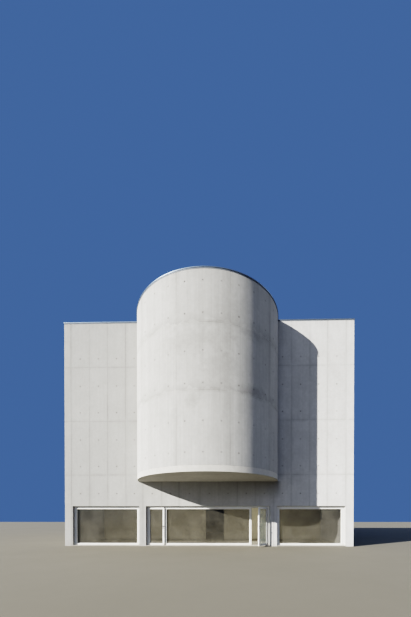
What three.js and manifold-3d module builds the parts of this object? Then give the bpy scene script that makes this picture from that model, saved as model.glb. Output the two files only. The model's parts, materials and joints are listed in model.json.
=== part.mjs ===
// A square concrete church building with a half-round apse carried above its glazed entrance.
// Units are millimetres. X runs to the right along the front, Y to the rear and Z up.
// The origin is the middle of the square block at ground level.

import * as THREE from 'three';
import { mergeVertices } from 'three/addons/utils/BufferGeometryUtils.js';
import Module from 'manifold-3d';

const wasm = await Module();
wasm.setup();

// Block and walls
const BLOCK_WIDTH = 15430;
const BLOCK_HEIGHT = 12000;
const WALL_THICKNESS = 400;
const JOINT = 0.3; // gap between pieces that touch

// Floors, roof and coping
const GROUND_FLOOR_TOP = 50;
const UPPER_FLOOR_UNDERSIDE = 3455;
const UPPER_FLOOR_TOP = 3730;
const ROOF_UNDERSIDE = 11250;
const ROOF_TOP = 11550;
const COPING_HEIGHT = 90;
const COPING_OVERHANG = 25;

// Apse, centred on the inner face of the front wall
const APSE_RADIUS = 3730;
const APSE_WALL_THICKNESS = 300;
const APSE_SEGMENTS = 5;
const FACETS_PER_SEGMENT = 12;

// Ground floor openings, as distances from the middle of each side
const OPENING_TOP = 2144;
const CENTRE_OPENING_HALF = 3320;
const WINDOW_NEAR = 3687;
const WINDOW_FAR = 7287;

// Window frames and glass
const FRAME_SETBACK = 150;
const FRAME_DEPTH = 100;
const FRAME_SIDE = 150;
const FRAME_HEAD = 155;
const FRAME_SILL = 90;
const GLASS_THICKNESS = 30;
const GLASS_SETBACK = 60; // behind the face of the frame

// Entrance frame with a door at each end
const ENTRANCE_JAMB = 110;
const MULLION_WIDTH = 105;
const DOORWAY_WIDTH = 865;
const DOOR_HEAD = 70;
const THRESHOLD_HEIGHT = 12;
const STOP_WIDTH = 15;
const STOP_DEPTH = 35;

// Door leaves, hinges and handles
const DOOR_CLEARANCE = 5;
const LEAF_THICKNESS = 60;
const LEAF_LOCK_STILE = 80;
const LEAF_HINGE_STILE = 60;
const LEAF_TOP_RAIL = 80;
const LEAF_BOTTOM_RAIL = 73;
const LEAF_GLASS_SETBACK = 28;
const RIGHT_DOOR_OPEN = 52; // degrees at rest
const LEFT_DOOR_OPEN = 5;
const HINGE_HEIGHTS = [250, 1050, 1850];
const HINGE_STANDOFF = 14; // pin axis in front of the leaf's face
const KNUCKLE_RADIUS = 11;
const KNUCKLE_HEIGHT = 60;
const HINGE_WING = 20;
const HANDLE_HEIGHT = 1060;
const ROSE_RADIUS = 26;
const ROSE_THICKNESS = 8;
const SPINDLE_RADIUS = 9;
const LEVER_LENGTH = 130;
const LEVER_THICKNESS = 18;
const LEVER_STANDOFF = 46;

// Wall behind the entrance hall and its doorway
const INNER_WALL_SETBACK = 4165; // from the front face
const INNER_WALL_THICKNESS = 200;
const INNER_DOORWAY = [-390, 840];
const INNER_DOORWAY_TOP = 2250;

// Values that follow from the ones above
const HALF = BLOCK_WIDTH / 2;
const INSIDE = HALF - WALL_THICKNESS;
const WALL_TOP = BLOCK_HEIGHT - COPING_HEIGHT;
const FRAME_FRONT = -HALF + FRAME_SETBACK;
const DOORWAY_FAR = CENTRE_OPENING_HALF - ENTRANCE_JAMB;
const DOORWAY_NEAR = DOORWAY_FAR - DOORWAY_WIDTH;
const FIXED_HALF = DOORWAY_NEAR - MULLION_WIDTH;
const DOORWAY_BOTTOM = GROUND_FLOOR_TOP + THRESHOLD_HEIGHT;
const DOORWAY_TOP = OPENING_TOP - DOOR_HEAD;
const GLAZING_HEIGHT = [GROUND_FLOOR_TOP + FRAME_SILL, OPENING_TOP - FRAME_HEAD];
const LEAF_WIDTH = DOORWAY_WIDTH - 2 * DOOR_CLEARANCE;
const HINGE_X = DOORWAY_FAR - DOOR_CLEARANCE / 2;
const HINGE_Y = FRAME_FRONT - HINGE_STANDOFF;

const concrete = new THREE.MeshStandardMaterial({ color: 0xcdccc6, roughness: 0.85, metalness: 0 });
const smoothConcrete = new THREE.MeshStandardMaterial({ color: 0xd8d7d1, roughness: 0.75, metalness: 0 });
const floorConcrete = new THREE.MeshStandardMaterial({ color: 0xa09c92, roughness: 0.8, metalness: 0 });
const plaster = new THREE.MeshStandardMaterial({ color: 0xb3aa8d, roughness: 0.9, metalness: 0 });
const roofing = new THREE.MeshStandardMaterial({ color: 0x8b8c8c, roughness: 0.9, metalness: 0 });
const copingMetal = new THREE.MeshStandardMaterial({ color: 0x8fa3b8, roughness: 0.4, metalness: 0.9 });
const whiteFrame = new THREE.MeshStandardMaterial({ color: 0xeeede8, roughness: 0.45, metalness: 0.1 });
const windowGlass = new THREE.MeshStandardMaterial({
  color: 0x6d685a, roughness: 0.1, metalness: 0, transparent: true, opacity: 0.4,
});
const darkMetal = new THREE.MeshStandardMaterial({ color: 0x2e2f32, roughness: 0.35, metalness: 0.8 });

const building = new THREE.Group();

// The range between two distances from the middle, on the left (-1) or the right (1)
function span(side, near, far) {
  return side < 0 ? [-far, -near] : [near, far];
}

function addPiece(parent, name, geometry, material) {
  const mesh = new THREE.Mesh(geometry, material);
  mesh.name = name;
  parent.add(mesh);
}

function box([x0, x1], [y0, y1], [z0, z1]) {
  const geometry = new THREE.BoxGeometry(x1 - x0, y1 - y0, z1 - z0);
  return geometry.translate((x0 + x1) / 2, (y0 + y1) / 2, (z0 + z1) / 2);
}

// A box that keeps half a joint to its neighbours on every side but the ground
function block(x, y, z) {
  const inset = JOINT / 2;
  const bottom = z[0] === 0 ? 0 : z[0] + inset;
  return box([x[0] + inset, x[1] - inset], [y[0] + inset, y[1] - inset], [bottom, z[1] - inset]);
}

// An upright cylinder round a vertical axis
function post(x, y, radius, [z0, z1], facets) {
  const geometry = new THREE.CylinderGeometry(radius, radius, z1 - z0, facets);
  return geometry.rotateX(Math.PI / 2).translate(x, y, (z0 + z1) / 2);
}

function toSolid(geometry) {
  const bare = geometry.clone();
  bare.deleteAttribute('normal');
  bare.deleteAttribute('uv');
  const merged = mergeVertices(bare);
  const vertProperties = new Float32Array(merged.attributes.position.array);
  const triVerts = new Uint32Array(merged.index.array);
  return new wasm.Manifold(new wasm.Mesh({ numProp: 3, vertProperties, triVerts }));
}

function toGeometry(solid) {
  const { vertProperties, triVerts } = solid.getMesh();
  const geometry = new THREE.BufferGeometry();
  geometry.setAttribute('position', new THREE.BufferAttribute(vertProperties, 3));
  geometry.setIndex(new THREE.BufferAttribute(triVerts, 1));
  geometry.computeVertexNormals();
  return geometry;
}

function join(geometries) {
  return toGeometry(geometries.map(toSolid).reduce((whole, piece) => whole.add(piece)));
}

function cut(geometry, tool) {
  return toGeometry(toSolid(geometry).subtract(toSolid(tool)));
}

function widened([low, high], by) {
  return [low - by, high + by];
}

// An upright sheet with rectangular holes; its front face is at y = front
function sheet(x, z, holes, front, depth) {
  const inset = JOINT / 2;
  const plate = box(widened(x, -inset), [front, front + depth], widened(z, -inset));
  const through = [front - 1, front + depth + 1];
  const tools = holes.map((hole) => box(widened(hole.x, inset), through, widened(hole.z, inset)));
  return tools.reduce((rest, tool) => cut(rest, tool), plate);
}

// A piece of a round wall or disc about the apse's axis, between two angles in degrees
function apsePiece([inner, outer], [from, to], [z0, z1]) {
  const inset = JOINT / 2;
  const turn = inset / outer;
  const start = THREE.MathUtils.degToRad(from) + turn;
  const end = THREE.MathUtils.degToRad(to) - turn;
  const shape = new THREE.Shape();
  shape.absarc(0, 0, outer, start, end, false);
  if (inner > 0) shape.absarc(0, 0, inner, end, start, true);
  const segments = Math.round((to - from) * APSE_SEGMENTS / 180);
  const curveSegments = FACETS_PER_SEGMENT * segments / 2; // an arc takes two facets for each
  const depth = z1 - z0 - 2 * inset;
  const geometry = new THREE.ExtrudeGeometry(shape, { depth, curveSegments, bevelEnabled: false });
  return geometry.translate(0, -INSIDE, z0 + inset);
}

// The round of the apse and its joint, used to cut what meets it
function apseCutter(radius, z) {
  return post(0, -INSIDE, radius + JOINT, z, 2 * APSE_SEGMENTS * FACETS_PER_SEGMENT);
}

function addFloors() {
  const inset = JOINT / 2;
  const tongue = [-CENTRE_OPENING_HALF + inset, CENTRE_OPENING_HALF - inset];
  const thickness = [0, GROUND_FLOOR_TOP - inset];
  const inside = [-INSIDE + inset, INSIDE - inset];
  const [front, rear] = [-1, 1].map((side) => span(side, INSIDE - WALL_THICKNESS, HALF));
  const slabs = [box(inside, inside, thickness), box(tongue, front, thickness)];
  [-1, 1].forEach((side) => {
    const reach = span(side, INSIDE - WALL_THICKNESS, HALF);
    const window = span(side, WINDOW_NEAR + inset, WINDOW_FAR - inset);
    slabs.push(box(reach, tongue, thickness));
    slabs.push(box(window, front, thickness));
    slabs.push(box(window, rear, thickness));
  });
  addPiece(building, 'ground_slab', join(slabs), floorConcrete);

  const room = [-INSIDE, INSIDE];
  const floor = [UPPER_FLOOR_UNDERSIDE, UPPER_FLOOR_TOP];
  const roof = [ROOF_UNDERSIDE, ROOF_TOP];
  const half = [180, 360];
  const innerRadius = APSE_RADIUS - APSE_WALL_THICKNESS - JOINT;
  addPiece(building, 'upper_floor', block(room, room, floor), floorConcrete);
  addPiece(building, 'apse_floor', apsePiece([0, APSE_RADIUS], half, floor), smoothConcrete);
  addPiece(building, 'roof_slab', block(room, room, roof), roofing);
  addPiece(building, 'apse_roof', apsePiece([0, innerRadius], half, roof), roofing);
}

function addFrontWall() {
  const depth = [-HALF, -INSIDE];
  const lower = [0, OPENING_TOP];
  const upper = [UPPER_FLOOR_UNDERSIDE, WALL_TOP];
  const lintel = block([-HALF, HALF], depth, [OPENING_TOP, UPPER_FLOOR_UNDERSIDE]);
  addPiece(building, 'front_lintel', lintel, concrete);
  [['left', -1], ['right', 1]].forEach(([name, side]) => {
    const pier = block(span(side, CENTRE_OPENING_HALF, WINDOW_NEAR), depth, lower);
    const corner = block(span(side, WINDOW_FAR, HALF), depth, lower);
    const panel = block(span(side, APSE_RADIUS - APSE_WALL_THICKNESS, HALF), depth, upper);
    addPiece(building, `front_pier_${name}`, pier, concrete);
    addPiece(building, `front_corner_${name}`, corner, concrete);
    addPiece(building, `front_wall_${name}`, cut(panel, apseCutter(APSE_RADIUS, upper)), concrete);
  });
}

// A side of the block that the front does not show: one wall over its piers and windows
function addPlainSide(name, turn, halfWidth, piers, windows) {
  const side = new THREE.Group();
  side.rotation.z = THREE.MathUtils.degToRad(turn);
  building.add(side);
  const depth = [-HALF, -INSIDE];
  const wall = block([-halfWidth, halfWidth], depth, [OPENING_TOP, WALL_TOP]);
  addPiece(side, `${name}_wall`, wall, concrete);
  piers.forEach(([pierName, width]) => {
    addPiece(side, pierName, block(width, depth, [0, OPENING_TOP]), concrete);
  });
  windows.forEach(([windowName, opening]) => addWindow(side, windowName, opening));
}

function addPlainSides() {
  const opening = [-CENTRE_OPENING_HALF, CENTRE_OPENING_HALF];
  [['right', 90, 'front', 'rear'], ['left', -90, 'rear', 'front']].forEach(([name, turn, first, second]) => {
    const piers = [
      [`${name}_pier_${first}`, [-INSIDE, opening[0]]],
      [`${name}_pier_${second}`, [opening[1], INSIDE]],
    ];
    addPlainSide(name, turn, INSIDE, piers, [[name, opening]]);
  });
  const rearPiers = [
    ['rear_corner_right', [-HALF, -WINDOW_FAR]],
    ['rear_pier', [-WINDOW_NEAR, WINDOW_NEAR]],
    ['rear_corner_left', [WINDOW_FAR, HALF]],
  ];
  const rearWindows = [
    ['rear_right', [-WINDOW_FAR, -WINDOW_NEAR]],
    ['rear_left', [WINDOW_NEAR, WINDOW_FAR]],
  ];
  addPlainSide('rear', 180, HALF, rearPiers, rearWindows);
}

function addWindow(parent, name, opening) {
  const height = [GROUND_FLOOR_TOP, OPENING_TOP];
  const glazing = [opening[0] + FRAME_SIDE, opening[1] - FRAME_SIDE];
  const hole = { x: glazing, z: GLAZING_HEIGHT };
  const frame = sheet(opening, height, [hole], FRAME_FRONT, FRAME_DEPTH);
  const glass = sheet(glazing, GLAZING_HEIGHT, [], FRAME_FRONT + GLASS_SETBACK, GLASS_THICKNESS);
  addPiece(parent, `${name}_window_frame`, frame, whiteFrame);
  addPiece(parent, `${name}_window_glass`, glass, windowGlass);
}

function addApse() {
  const wall = [APSE_RADIUS - APSE_WALL_THICKNESS, APSE_RADIUS];
  const angle = 180 / APSE_SEGMENTS;
  for (let i = 0; i < APSE_SEGMENTS; i += 1) {
    const range = [180 + i * angle, 180 + (i + 1) * angle];
    const segment = apsePiece(wall, range, [UPPER_FLOOR_TOP, WALL_TOP]);
    addPiece(building, `apse_wall_${i + 1}`, segment, concrete);
  }
}

function addCopings() {
  const height = [WALL_TOP, BLOCK_HEIGHT];
  const outer = HALF + COPING_OVERHANG;
  const inner = INSIDE - COPING_OVERHANG;
  const radius = APSE_RADIUS + COPING_OVERHANG;
  const beyond = [height[0] - 1, height[1] + 1];
  const plate = block([-outer, outer], [-outer, outer], height);
  const ring = cut(plate, box([-inner, inner], [-inner, inner], beyond));
  const gateway = box([-radius - JOINT, radius + JOINT], [-INSIDE, -inner + 1], beyond);
  const open = cut(ring, join([apseCutter(radius, beyond), gateway]));
  addPiece(building, 'coping_block', open, copingMetal);

  const ringWidth = [APSE_RADIUS - APSE_WALL_THICKNESS - COPING_OVERHANG, radius];
  addPiece(building, 'coping_apse', apsePiece(ringWidth, [180, 360], height), copingMetal);
}

// Knuckles of one part of every hinge, with the wings that fix them; side is -1 or 1
function hingeParts(side, belongsToFrame) {
  const clear = DOOR_CLEARANCE / 2;
  const wingX = belongsToFrame
    ? span(side, HINGE_X + clear, HINGE_X + clear + HINGE_WING)
    : span(side, HINGE_X - clear - HINGE_WING, HINGE_X - clear);
  const wingY = [HINGE_Y - KNUCKLE_RADIUS / 2, FRAME_FRONT + 1];
  return HINGE_HEIGHTS.flatMap((height) => {
    const z = belongsToFrame
      ? [height - KNUCKLE_HEIGHT, height - JOINT / 2]
      : [height + JOINT / 2, height + KNUCKLE_HEIGHT];
    const knuckle = post(side * HINGE_X, HINGE_Y, KNUCKLE_RADIUS, z, 24);
    return [knuckle, box(wingX, wingY, z)];
  });
}

function addEntranceFrame() {
  const opening = [-CENTRE_OPENING_HALF, CENTRE_OPENING_HALF];
  const height = [GROUND_FLOOR_TOP, OPENING_TOP];
  const fixed = { x: [-FIXED_HALF, FIXED_HALF], z: GLAZING_HEIGHT };
  const doorways = (stop) => [
    { x: [-DOORWAY_FAR + stop, -DOORWAY_NEAR - stop], z: [DOORWAY_BOTTOM, DOORWAY_TOP - stop] },
    { x: [DOORWAY_NEAR + stop, DOORWAY_FAR - stop], z: [DOORWAY_BOTTOM, DOORWAY_TOP - stop] },
  ];
  const frontDepth = FRAME_DEPTH - STOP_DEPTH;
  const front = sheet(opening, height, [fixed, ...doorways(0)], FRAME_FRONT, frontDepth);
  const stopFront = FRAME_FRONT + frontDepth - 1;
  const back = sheet(opening, height, [fixed, ...doorways(STOP_WIDTH)], stopFront, STOP_DEPTH + 1);
  const frame = join([front, back, ...hingeParts(-1, true), ...hingeParts(1, true)]);
  const glass = sheet(fixed.x, fixed.z, [], FRAME_FRONT + GLASS_SETBACK, GLASS_THICKNESS);
  addPiece(building, 'entrance_frame', frame, whiteFrame);
  addPiece(building, 'entrance_glass', glass, windowGlass);
}

// Roses and levers on both faces of a leaf, joined by the spindle through its stile
function handleGeometry(x, side) {
  const middle = FRAME_FRONT + LEAF_THICKNESS / 2;
  const rose = (from, to) => roundBar(x, [from, to], ROSE_RADIUS);
  const reach = LEAF_THICKNESS / 2 + LEVER_STANDOFF;
  const face = LEAF_THICKNESS / 2 + JOINT;
  const leverX = span(side, Math.abs(x) - LEVER_THICKNESS / 2, Math.abs(x) + LEVER_LENGTH);
  const leverZ = [HANDLE_HEIGHT - LEVER_THICKNESS / 2, HANDLE_HEIGHT + LEVER_THICKNESS / 2];
  const lever = (from) => box(leverX, [from, from + LEVER_THICKNESS], leverZ);
  return join([
    roundBar(x, [middle - reach, middle + reach], SPINDLE_RADIUS),
    rose(middle - face - ROSE_THICKNESS, middle - face),
    rose(middle + face, middle + face + ROSE_THICKNESS),
    lever(middle - reach),
    lever(middle + reach - LEVER_THICKNESS),
  ]);
}

// A level cylinder from front to rear at the height of the handles
function roundBar(x, [y0, y1], radius) {
  const geometry = new THREE.CylinderGeometry(radius, radius, y1 - y0, 24);
  return geometry.translate(x, (y0 + y1) / 2, HANDLE_HEIGHT);
}

// A door drawn closed and then turned about its hinge pin; side is -1 for left and 1 for right
function addDoor(name, side, openAngle) {
  const turned = new THREE.Group();
  turned.position.set(side * HINGE_X, HINGE_Y, 0);
  turned.rotation.z = THREE.MathUtils.degToRad(side * openAngle);
  const door = new THREE.Group();
  door.position.set(-side * HINGE_X, -HINGE_Y, 0);
  turned.add(door);
  building.add(turned);

  const near = DOORWAY_NEAR + DOOR_CLEARANCE;
  const far = near + LEAF_WIDTH;
  const height = [DOORWAY_BOTTOM + DOOR_CLEARANCE, DOORWAY_TOP - DOOR_CLEARANCE];
  const glassX = span(side, near + LEAF_LOCK_STILE, far - LEAF_HINGE_STILE);
  const glassZ = [height[0] + LEAF_BOTTOM_RAIL, height[1] - LEAF_TOP_RAIL];
  const hole = { x: glassX, z: glassZ };
  const ring = sheet(span(side, near, far), height, [hole], FRAME_FRONT, LEAF_THICKNESS);
  const handleX = side * (near + LEAF_LOCK_STILE / 2);
  const bore = roundBar(handleX, [FRAME_FRONT - 1, FRAME_FRONT + LEAF_THICKNESS + 1], SPINDLE_RADIUS + JOINT);
  const leaf = cut(join([ring, ...hingeParts(side, false)]), bore);
  const glassFront = FRAME_FRONT + LEAF_GLASS_SETBACK;
  addPiece(door, `${name}_leaf`, leaf, whiteFrame);
  addPiece(door, `${name}_glass`, sheet(glassX, glassZ, [], glassFront, GLASS_THICKNESS), windowGlass);
  addPiece(door, `${name}_handle`, handleGeometry(handleX, side), darkMetal);
}

function addInnerWall() {
  const front = -HALF + INNER_WALL_SETBACK;
  const depth = [front, front + INNER_WALL_THICKNESS];
  const height = [GROUND_FLOOR_TOP, UPPER_FLOOR_UNDERSIDE];
  const over = [INNER_DOORWAY_TOP, UPPER_FLOOR_UNDERSIDE];
  addPiece(building, 'inner_wall_left', block([-INSIDE, INNER_DOORWAY[0]], depth, height), plaster);
  addPiece(building, 'inner_wall_right', block([INNER_DOORWAY[1], INSIDE], depth, height), plaster);
  addPiece(building, 'inner_wall_lintel', block(INNER_DOORWAY, depth, over), plaster);
}

addFloors();
addFrontWall();
addPlainSides();
addApse();
addCopings();
addWindow(building, 'front_left', [-WINDOW_FAR, -WINDOW_NEAR]);
addWindow(building, 'front_right', [WINDOW_NEAR, WINDOW_FAR]);
addEntranceFrame();
addDoor('door_left', -1, LEFT_DOOR_OPEN);
addDoor('door_right', 1, RIGHT_DOOR_OPEN);
addInnerWall();

export default building;
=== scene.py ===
"""Looks for a square concrete church building with a half-round apse above its glazed entrance.

Units are metres. X runs to the right along the front, Y to the rear and Z up.
"""

import json
import math
import random

import bmesh
import bpy
from mathutils import Matrix, Vector


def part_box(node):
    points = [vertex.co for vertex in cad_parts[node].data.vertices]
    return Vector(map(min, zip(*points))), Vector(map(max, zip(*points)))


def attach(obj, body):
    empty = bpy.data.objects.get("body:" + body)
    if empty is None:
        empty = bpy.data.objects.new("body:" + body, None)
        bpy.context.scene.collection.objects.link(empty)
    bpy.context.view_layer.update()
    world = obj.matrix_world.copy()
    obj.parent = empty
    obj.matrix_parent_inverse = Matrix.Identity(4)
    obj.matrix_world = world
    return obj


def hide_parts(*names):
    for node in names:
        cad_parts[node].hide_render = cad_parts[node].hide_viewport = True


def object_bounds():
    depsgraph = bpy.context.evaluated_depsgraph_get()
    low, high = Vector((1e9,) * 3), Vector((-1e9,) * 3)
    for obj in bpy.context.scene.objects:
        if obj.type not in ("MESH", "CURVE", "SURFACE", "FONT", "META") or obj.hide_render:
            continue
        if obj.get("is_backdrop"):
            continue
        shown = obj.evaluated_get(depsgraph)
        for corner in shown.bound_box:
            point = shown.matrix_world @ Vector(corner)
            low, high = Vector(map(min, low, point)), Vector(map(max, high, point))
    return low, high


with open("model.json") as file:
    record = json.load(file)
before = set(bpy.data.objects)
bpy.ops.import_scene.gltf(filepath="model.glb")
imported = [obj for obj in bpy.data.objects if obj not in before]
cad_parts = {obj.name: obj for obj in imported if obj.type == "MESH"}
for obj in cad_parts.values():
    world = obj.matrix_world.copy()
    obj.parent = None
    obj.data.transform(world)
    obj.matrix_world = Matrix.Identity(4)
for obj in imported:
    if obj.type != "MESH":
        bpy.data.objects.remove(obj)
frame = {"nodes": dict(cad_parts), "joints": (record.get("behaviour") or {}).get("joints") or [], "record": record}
cad_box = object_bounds()

# Sizes, most of them read from the frame
JOINT = 0.00015  # half the gap between pieces that touch
LINTEL_LOW, LINTEL_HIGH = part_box("front_lintel")
HALF = LINTEL_HIGH.x + JOINT
INSIDE = -LINTEL_HIGH.y - JOINT
WALL = HALF - INSIDE
WALL_MIDDLE = HALF - WALL / 2
FLOOR_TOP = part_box("ground_slab")[1].z + JOINT
OPENING_TOP = LINTEL_LOW.z - JOINT
APSE_UNDERSIDE, APSE_FLOOR_TOP = (corner.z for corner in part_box("apse_floor"))
WALL_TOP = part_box("rear_wall")[1].z
COPING_REACH, _, COPING_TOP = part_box("coping_block")[1]
APSE_RADIUS = -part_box("apse_floor")[0].y - INSIDE
APSE_WALL = 0.3
APSE_INNER = APSE_RADIUS - APSE_WALL
CENTRE_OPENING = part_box("entrance_frame")[1].x + JOINT
WINDOW_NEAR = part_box("front_right_window_frame")[0].x - JOINT
WINDOW_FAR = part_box("front_right_window_frame")[1].x + JOINT
ROOF_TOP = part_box("roof_slab")[1].z + JOINT
UPSTAND_TOP = 11.865

# Depths from the wall's outer face, and the edges of the panes
FRAME_FACE, FRAME_REAR = (corner.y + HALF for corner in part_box("front_right_window_frame"))
GLASS_FACE, GLASS_REAR = (corner.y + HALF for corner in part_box("entrance_glass"))
GLASS_LOW, GLASS_HIGH = (corner.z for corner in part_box("entrance_glass"))
CENTRE_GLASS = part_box("entrance_glass")[1].x
WINDOW_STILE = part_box("front_right_window_glass")[0].x - WINDOW_NEAR
LEAF_HOLE_NEAR, LEAF_HOLE_FAR = 2.430, 3.145
LEAF_GLASS_FACE = FRAME_FACE + 0.028
LEAF_GLASS_REAR = LEAF_GLASS_FACE + 0.030
LEAF_REAR = FRAME_FACE + 0.060
STOP_FACE = FRAME_FACE + 0.064

# Small parts of the frames and doors
FRAME_ARRIS = 0.0025
DOORWAY = (2.345, 3.210, 0.062, 2.074)
LOCK_PLACE = (2.390, 0.965)
LOCK_PROFILE = (
    (0.0, 0.024), (0.006, 0.024), (0.008, 0.021),
    (0.008, 0.0095), (0.011, 0.0085), (0.0115, 0.004),
)
HINGE_HEIGHTS = (0.25, 1.05, 1.85)
HINGE_HALF_HEIGHT = 0.06
KNUCKLE_RADIUS = 0.011

# Straps over the joints in the coping
STRAP_PLACES = (-5.1, -2.55, 0.0, 2.55, 5.1)
FRONT_STRAP_PLACES = (-5.6, 5.6)
APSE_STRAP_ANGLES = (-60, -30, 0, 30, 60)
STRAP_HALF_WIDTH = 0.045
STRAP_HALF_ANGLE = 0.7
STRAP_RISE = 0.0025

# Marks of the shuttering in the cast concrete
JOINTS = (
    -7.35, -6.36, -5.38, -4.40, -3.48, -2.48, -1.54, -0.41,
    0.58, 1.57, 2.53, 3.50, 4.43, 5.40, 6.32, 7.30,
)
LIFT_HEIGHTS = (3.82, 6.70, 9.58)
TIE_ROWS = (1.40, 2.82, 4.28, 5.70, 7.16, 8.58, 10.04)
BETWEEN_TIES = (4.99, 7.87)
APSE_JOINT_ANGLES = (-54, -18, 18, 54)
# The apse's panel tones are given one by one. They are partly the panels' own tones and partly painted light and
# shade: the middle panel is darker where the light falls off towards the shaded side, and the two right-hand
# panels are lighter, as painted light where the sun grazes and where light is thrown back onto the shaded side.
APSE_TONES = (0.4, 0.4, 0.9, 0.1, 0.0)  # from left to right, darker as it grows
APSE_TIE_STEPS = ((6, 1.0), (18, 0.75), (30, 0.75))
APSE_LIFT_HEIGHTS = (6.88, 9.70)
APSE_TIE_ROWS = (4.28, 5.59, 7.17, 8.52, 10.09, 11.44)
APSE_BETWEEN_TIES = (4.99, 7.87, 10.75)
GROOVE_DEPTH = 0.003
SEAM = ((-0.14, 0.0), (-0.02, 0.3), (-0.005, 1.0), (0.005, 1.0), (0.02, 0.3), (0.14, 0.0))
DOUBLE_SEAM = ((-0.185, 0.0), (-0.17, 0.3), (-0.155, 0.0)) + SEAM
APSE_SEAM = ((-0.30, 0.0),) + SEAM[1:]
TIE_HALO_RADIUS = 0.062
TIE_RADIUS = 0.020
TIE_BOTTOM_RADIUS = 0.014
TIE_DEPTH = 0.014
TIE_SIDES = 12
TIE_STRENGTHS = (0.7, 1.0)
TONE_SPREAD = 0.25
ARRIS = 0.008
ARRIS_ANGLE = 40  # degrees; a flatter edge isn't softened
SMOOTH_ANGLE = 20  # degrees; a sharper edge isn't shaded smooth
MERGE_DISTANCE = 1e-5
SHORTEST_EDGE = 1e-6
APSE_STEP = 2  # degrees between the apse's grid lines

# Tones that mark the concrete, two of which also serve as painted shade, and how far to each side the base tone
# runs from left to right
SOOT_AND_SHADE = (0.14, 0.135, 0.12)
DAMP_AND_SHADE = (0.27, 0.265, 0.25)
CLOUD = (0.30, 0.295, 0.28)
PANEL_DARK = (0.20, 0.20, 0.20)
LIME = (0.85, 0.84, 0.80)
MUD = (0.30, 0.27, 0.22)
TONE_REACH = 3.7

# Marks on the apse, stains and one blob of painted shade: angle, height, half-width, half-height and strength
APSE_STAINS_AND_SHADE = (
    (-20.0, 8.90, 0.80, 0.50, 0.22),
    (-2.0, 9.00, 1.30, 0.60, 0.32),
    (12.0, 7.90, 0.90, 0.60, 0.36),
    (22.0, 10.20, 0.80, 1.10, 0.34),
    (-7.2, 6.47, 0.35, 0.40, 0.48),
    (1.9, 9.21, 0.25, 0.40, 0.26),
    (7.2, 9.75, 0.40, 0.07, 0.30),
    (13.7, 8.41, 0.20, 0.15, 0.42),
    (36.0, 7.08, 0.90, 0.30, 0.60),
    (36.9, 9.51, 0.70, 0.25, 0.45),
    # painted shade: a tall faint blob right of the middle, darkening the front of the apse where its light falls
    # off towards the shaded side
    (10.0, 7.00, 0.90, 4.20, 0.17),
)

# Openings along a wall, and the walls but the front: name, turn, half-width, openings, nodes, seed
LEFT_OPENING = (-WINDOW_FAR, -WINDOW_NEAR)
MIDDLE_OPENING = (-CENTRE_OPENING, CENTRE_OPENING)
RIGHT_OPENING = (WINDOW_NEAR, WINDOW_FAR)
SIDES = (
    ("right", 90, INSIDE - JOINT, [MIDDLE_OPENING],
     ["right_wall", "right_pier_front", "right_pier_rear"], 21),
    ("rear", 180, HALF, [LEFT_OPENING, RIGHT_OPENING],
     ["rear_wall", "rear_corner_right", "rear_pier", "rear_corner_left"], 22),
    ("left", -90, INSIDE - JOINT, [MIDDLE_OPENING],
     ["left_wall", "left_pier_front", "left_pier_rear"], 23),
)
WINDOWS = (
    ("front_left", 0, LEFT_OPENING),
    ("front_right", 0, RIGHT_OPENING),
    ("right", 90, MIDDLE_OPENING),
    ("rear_right", 180, LEFT_OPENING),
    ("rear_left", 180, RIGHT_OPENING),
    ("left", -90, MIDDLE_OPENING),
    ("entrance", 0, MIDDLE_OPENING),
)

# The photograph's frame and the camera that fits it
PHOTO_WIDTH = 411
PHOTO_HEIGHT = 617
FOCAL_PIXELS = 291.0
PRINCIPAL_COLUMN = 219.27
PRINCIPAL_ROW = 521.3
CAMERA_PLACE = (0.941, -HALF - 15.525, 1.457)
CAMERA_YAW = 1.21
CAMERA_PITCH = -0.454
SENSOR_WIDTH = 24.0

MATERIALS = {}  # each by its name, as Shader makes it


def add_object(name, data):
    thing = bpy.data.objects.new(name, data)
    bpy.context.scene.collection.objects.link(thing)
    return thing


def make_camera():
    data = bpy.data.cameras.new("camera")
    data.sensor_fit = "HORIZONTAL"
    data.sensor_width = SENSOR_WIDTH
    data.lens = FOCAL_PIXELS / PHOTO_WIDTH * SENSOR_WIDTH
    data.shift_x = (PHOTO_WIDTH / 2 - PRINCIPAL_COLUMN) / PHOTO_WIDTH
    data.shift_y = (PRINCIPAL_ROW - PHOTO_HEIGHT / 2) / PHOTO_WIDTH
    data.clip_end = 500.0
    camera = add_object("camera", data)
    camera.location = CAMERA_PLACE
    camera.rotation_euler = (math.radians(90 + CAMERA_PITCH), 0, math.radians(CAMERA_YAW))
    bpy.context.scene.camera = camera


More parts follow.
